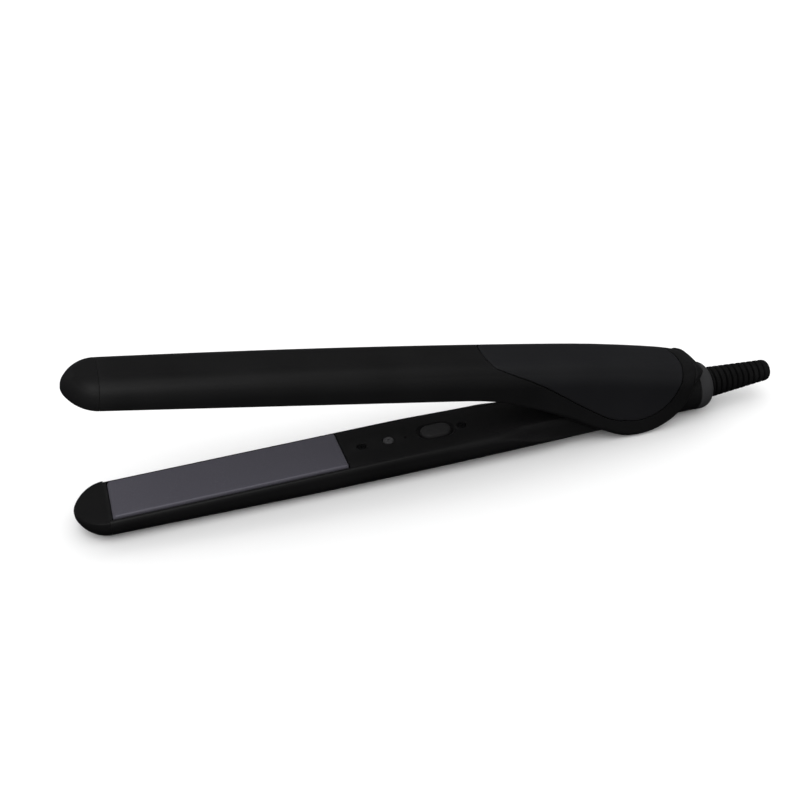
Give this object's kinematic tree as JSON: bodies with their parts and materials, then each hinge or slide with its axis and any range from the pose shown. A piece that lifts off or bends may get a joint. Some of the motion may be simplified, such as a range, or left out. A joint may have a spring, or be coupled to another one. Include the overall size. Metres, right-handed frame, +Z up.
{
  "type": "hair straightener",
  "caption": "Two hinged arms with floating heating plates that clamp hair between them, a power button, and a swivelling strain relief boot for a cord.",
  "frame": {"origin": "centre of the bounding box's underside, on the table the open iron lies on", "axes": "+X along the iron towards the cord end, +Y across it, +Z up; the arms open upwards about the hinge pin, which runs along Y"},
  "size_m": [0.3236, 0.03, 0.0749],
  "materials": {
    "shell_plastic": "fine matte texture",
    "tip_plastic": "fine matte texture",
    "panel_plastic": "smooth satin gloss",
    "plate_coating": "smooth satin ceramic coating on aluminium",
    "button_plastic": "satin",
    "lens_plastic": "smooth",
    "collar_plastic": "satin",
    "boot_rubber": "matte",
    "core_plastic": "moulded",
    "inner_plastic": "heat-proof moulding",
    "ceramic": "fired ceramic",
    "spring_steel": "bright",
    "screw_steel": "blackened",
    "silicone": "soft",
    "board": "laminate",
    "led_lens": "clear red",
    "wire_red": "insulation",
    "wire_blue": "insulation",
    "contact_brass": "bright"
  },
  "bodies": {
    "lower_arm": {"lower_housing": "shell_plastic", "lower_tip": "tip_plastic", "lower_plate_holder": "inner_plastic", "lower_cushions": "silicone", "lower_holder_screws": "spring_steel", "inner_cover": "shell_plastic", "inner_cover_screws": "screw_steel", "indicator_lens": "lens_plastic", "circuit_board": "board", "button_switch": "inner_plastic", "indicator_led": "led_lens", "lower_wires": "wire_red", "hinge_pin": "spring_steel", "hinge_spring": "spring_steel", "rear_collar": "collar_plastic", "brush_contacts": "contact_brass"},
    "upper_arm": {"upper_housing": "shell_plastic", "hinge_panel": "panel_plastic", "upper_tip": "tip_plastic", "upper_plate_holder": "inner_plastic", "upper_cushions": "silicone", "upper_holder_screws": "spring_steel", "upper_inner_cover": "shell_plastic", "upper_cover_screws": "screw_steel", "thermal_fuse": "ceramic", "upper_wires": "wire_blue"},
    "power_button": {"power_button": "button_plastic"},
    "cord_swivel": {"swivel_core": "core_plastic", "slip_rings": "contact_brass", "strain_relief_boot": "boot_rubber"},
    "lower_plate_float": {"lower_plate": "plate_coating", "lower_heater": "ceramic", "lower_heater_clip": "spring_steel"},
    "upper_plate_float": {"upper_plate": "plate_coating", "upper_heater": "ceramic", "upper_heater_clip": "spring_steel"}
  },
  "joints": [
    {"name": "arm_close", "type": "hinge", "parent": "lower_arm", "child": "upper_arm", "pos_m": [0.09948, 0, 0.01909], "axis": [0, -1, 0], "range_deg": [0, 11.7], "stiffness_Nm_per_rad": 0.8, "springref_deg": -25.78, "deforming": ["hinge_spring"]},
    {"name": "button_press", "type": "slide", "parent": "lower_arm", "child": "power_button", "axis": [0.0251, 0, -0.9997], "range_m": [0, 0.0008], "stiffness_N_per_m": 600, "springref_m": -0.0003},
    {"name": "cord_turn", "type": "hinge", "parent": "lower_arm", "child": "cord_swivel", "pos_m": [0.12968, 0, 0.01144], "axis": [0.9997, 0, 0.0251], "continuous": true},
    {"name": "lower_plate_press", "type": "slide", "parent": "lower_arm", "child": "lower_plate_float", "axis": [0.0251, 0, -0.9997], "range_m": [0, 0.0005], "stiffness_N_per_m": 3000, "springref_m": -0.0003},
    {"name": "upper_plate_press", "type": "slide", "parent": "upper_arm", "child": "upper_plate_float", "axis": [0.1798, 0, 0.9837], "range_m": [0, 0.0005], "stiffness_N_per_m": 3000, "springref_m": -0.0003}
  ]
}
